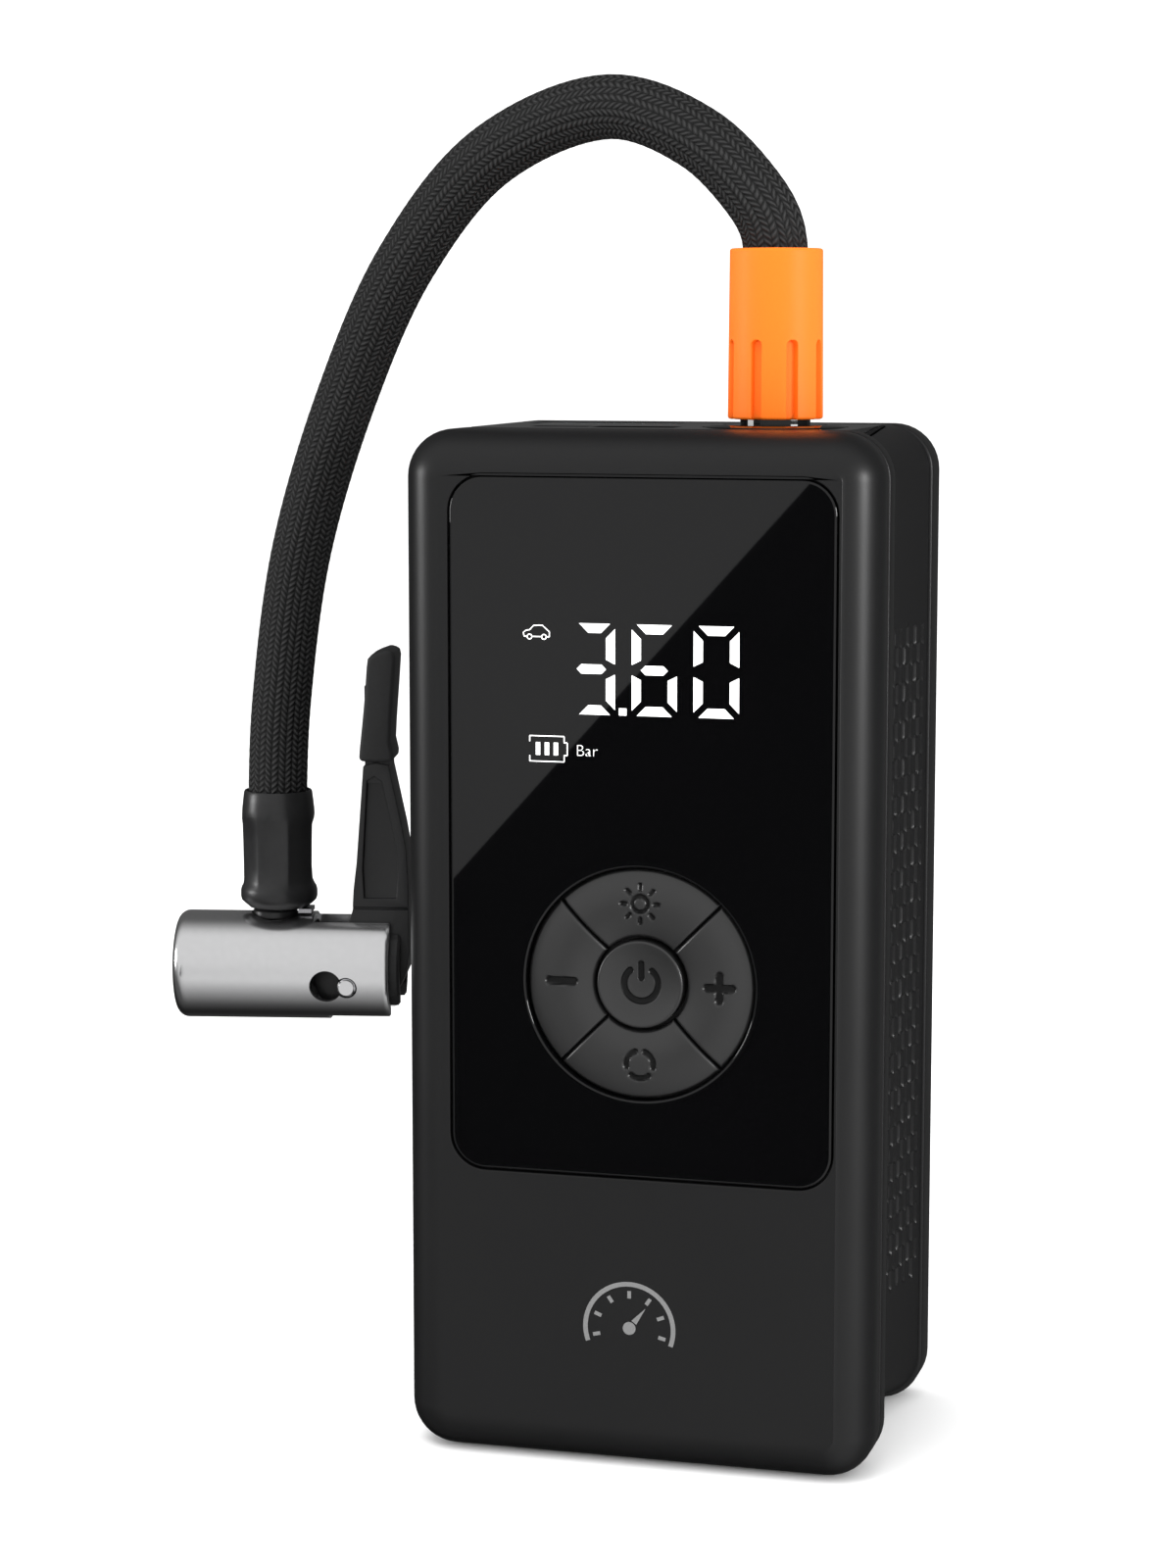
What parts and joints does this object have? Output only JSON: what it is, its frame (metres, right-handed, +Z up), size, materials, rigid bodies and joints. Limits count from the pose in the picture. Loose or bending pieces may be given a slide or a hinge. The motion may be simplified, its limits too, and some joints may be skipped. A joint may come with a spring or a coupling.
{
  "type": "tyre inflator",
  "caption": "Upright handheld cordless tyre inflator with lit gauge, round button pad, orange hose collar and braided hose ending in a lever chuck.",
  "frame": {"origin": "middle of the footprint that the case stands on, hose and chuck left out", "axes": "+X to the right of the display, +Y from the display to the rear cover, +Z up"},
  "size_m": [0.1358, 0.066, 0.2207],
  "materials": {
    "satin_black": "satin moulded",
    "gloss_black": "mirror gloss",
    "button_rubber": "satin, dished",
    "dark_plastic": "fine matt",
    "soft_black": "soft-touch",
    "orange": "satin moulded",
    "braid": "braided sleeve",
    "chrome": "polished",
    "steel": "plated",
    "brass": "machined",
    "aluminium": "die cast",
    "nylon": "moulded nylon",
    "board": "solder mask",
    "white_module": "white housing",
    "lens": "clear lens",
    "cell_wrap": "shrink wrap"
  },
  "bodies": {
    "case": {"front_shell": "satin_black", "middle_shell": "satin_black", "rear_cover": "satin_black", "display_panel": "gloss_black", "top_panel": "gloss_black", "socket_bezel": "gloss_black", "hose_socket": "gloss_black", "button_frame": "dark_plastic", "plus_switch": "dark_plastic", "lamp_switch": "dark_plastic", "minus_switch": "dark_plastic", "mode_switch": "dark_plastic", "power_switch": "dark_plastic", "hose_ferrule": "dark_plastic", "hose_neck": "dark_plastic", "end_bushing_front": "dark_plastic", "end_bushing_rear": "dark_plastic", "battery_tray": "dark_plastic", "battery_cap": "dark_plastic", "chuck_seal": "soft_black", "hose": "braid", "chuck_barrel": "chrome", "lever_pin": "chrome", "usb_c_port": "steel", "usb_a_port": "steel", "slot_stop": "steel", "motor": "steel", "gear_plate": "steel", "cover_screw_1": "steel", "cover_screw_2": "steel", "cover_screw_3": "steel", "cover_screw_4": "steel", "cylinder": "aluminium", "cylinder_head": "aluminium", "main_board": "board", "port_board": "board", "display_module": "white_module", "lamp_board": "white_module", "lamp_lens": "lens", "battery_cell_1": "cell_wrap", "battery_cell_2": "cell_wrap"},
    "lever_body": {"lever": "dark_plastic", "lever_grip": "soft_black"},
    "cartridge_body": {"chuck_cartridge": "dark_plastic", "valve_stem": "brass"},
    "collar_body": {"hose_collar": "orange"},
    "crank_body": {"crank_gear": "nylon"},
    "pinion_body": {"motor_pinion": "brass"},
    "piston_body": {"piston": "aluminium", "connecting_rod": "nylon"},
    "plus_button_body": {"plus_button": "button_rubber"},
    "lamp_button_body": {"lamp_button": "button_rubber"},
    "minus_button_body": {"minus_button": "button_rubber"},
    "mode_button_body": {"mode_button": "button_rubber"},
    "power_button_body": {"power_button": "button_rubber"}
  },
  "joints": [
    {"name": "lever_hinge", "type": "hinge", "parent": "case", "child": "lever_body", "pos_m": [-0.06578, 0.02768, 0.0662], "axis": [-0.2079, 0.9781, 0], "range_deg": [0, 90]},
    {"name": "cartridge_slide", "type": "slide", "parent": "case", "child": "cartridge_body", "axis": [0.9781, 0.2079, 0], "range_m": [0, 0.0015]},
    {"name": "collar_swivel", "type": "hinge", "parent": "case", "child": "collar_body", "pos_m": [0.0163, 0, 0.18], "axis": [0, 0, 1], "continuous": true},
    {"name": "crank_spin", "type": "hinge", "parent": "case", "child": "crank_body", "pos_m": [0.0108, 0.0025, 0.118], "axis": [1, 0, 0], "continuous": true},
    {"name": "pinion_spin", "type": "hinge", "parent": "case", "child": "pinion_body", "pos_m": [0.0108, 0.0025, 0.098], "axis": [1, 0, 0], "continuous": true},
    {"name": "piston_slide", "type": "slide", "parent": "case", "child": "piston_body", "axis": [0, 0, 1], "range_m": [0, 0.012]},
    {"name": "plus_press", "type": "slide", "parent": "case", "child": "plus_button_body", "axis": [0, 1, 0], "range_m": [0, 0.0006], "stiffness_N_per_m": 600, "springref_m": -0.0004},
    {"name": "lamp_press", "type": "slide", "parent": "case", "child": "lamp_button_body", "axis": [0, 1, 0], "range_m": [0, 0.0006], "stiffness_N_per_m": 600, "springref_m": -0.0004},
    {"name": "minus_press", "type": "slide", "parent": "case", "child": "minus_button_body", "axis": [0, 1, 0], "range_m": [0, 0.0006], "stiffness_N_per_m": 600, "springref_m": -0.0004},
    {"name": "mode_press", "type": "slide", "parent": "case", "child": "mode_button_body", "axis": [0, 1, 0], "range_m": [0, 0.0006], "stiffness_N_per_m": 600, "springref_m": -0.0004},
    {"name": "power_press", "type": "slide", "parent": "case", "child": "power_button_body", "axis": [0, 1, 0], "range_m": [0, 0.0006], "stiffness_N_per_m": 600, "springref_m": -0.0004}
  ],
  "couplings": [
    {"joint": "cartridge_slide", "follows": "lever_hinge", "m_per_rad": 0.0009231},
    {"joint": "pinion_spin", "follows": "crank_spin", "ratio": -4}
  ]
}
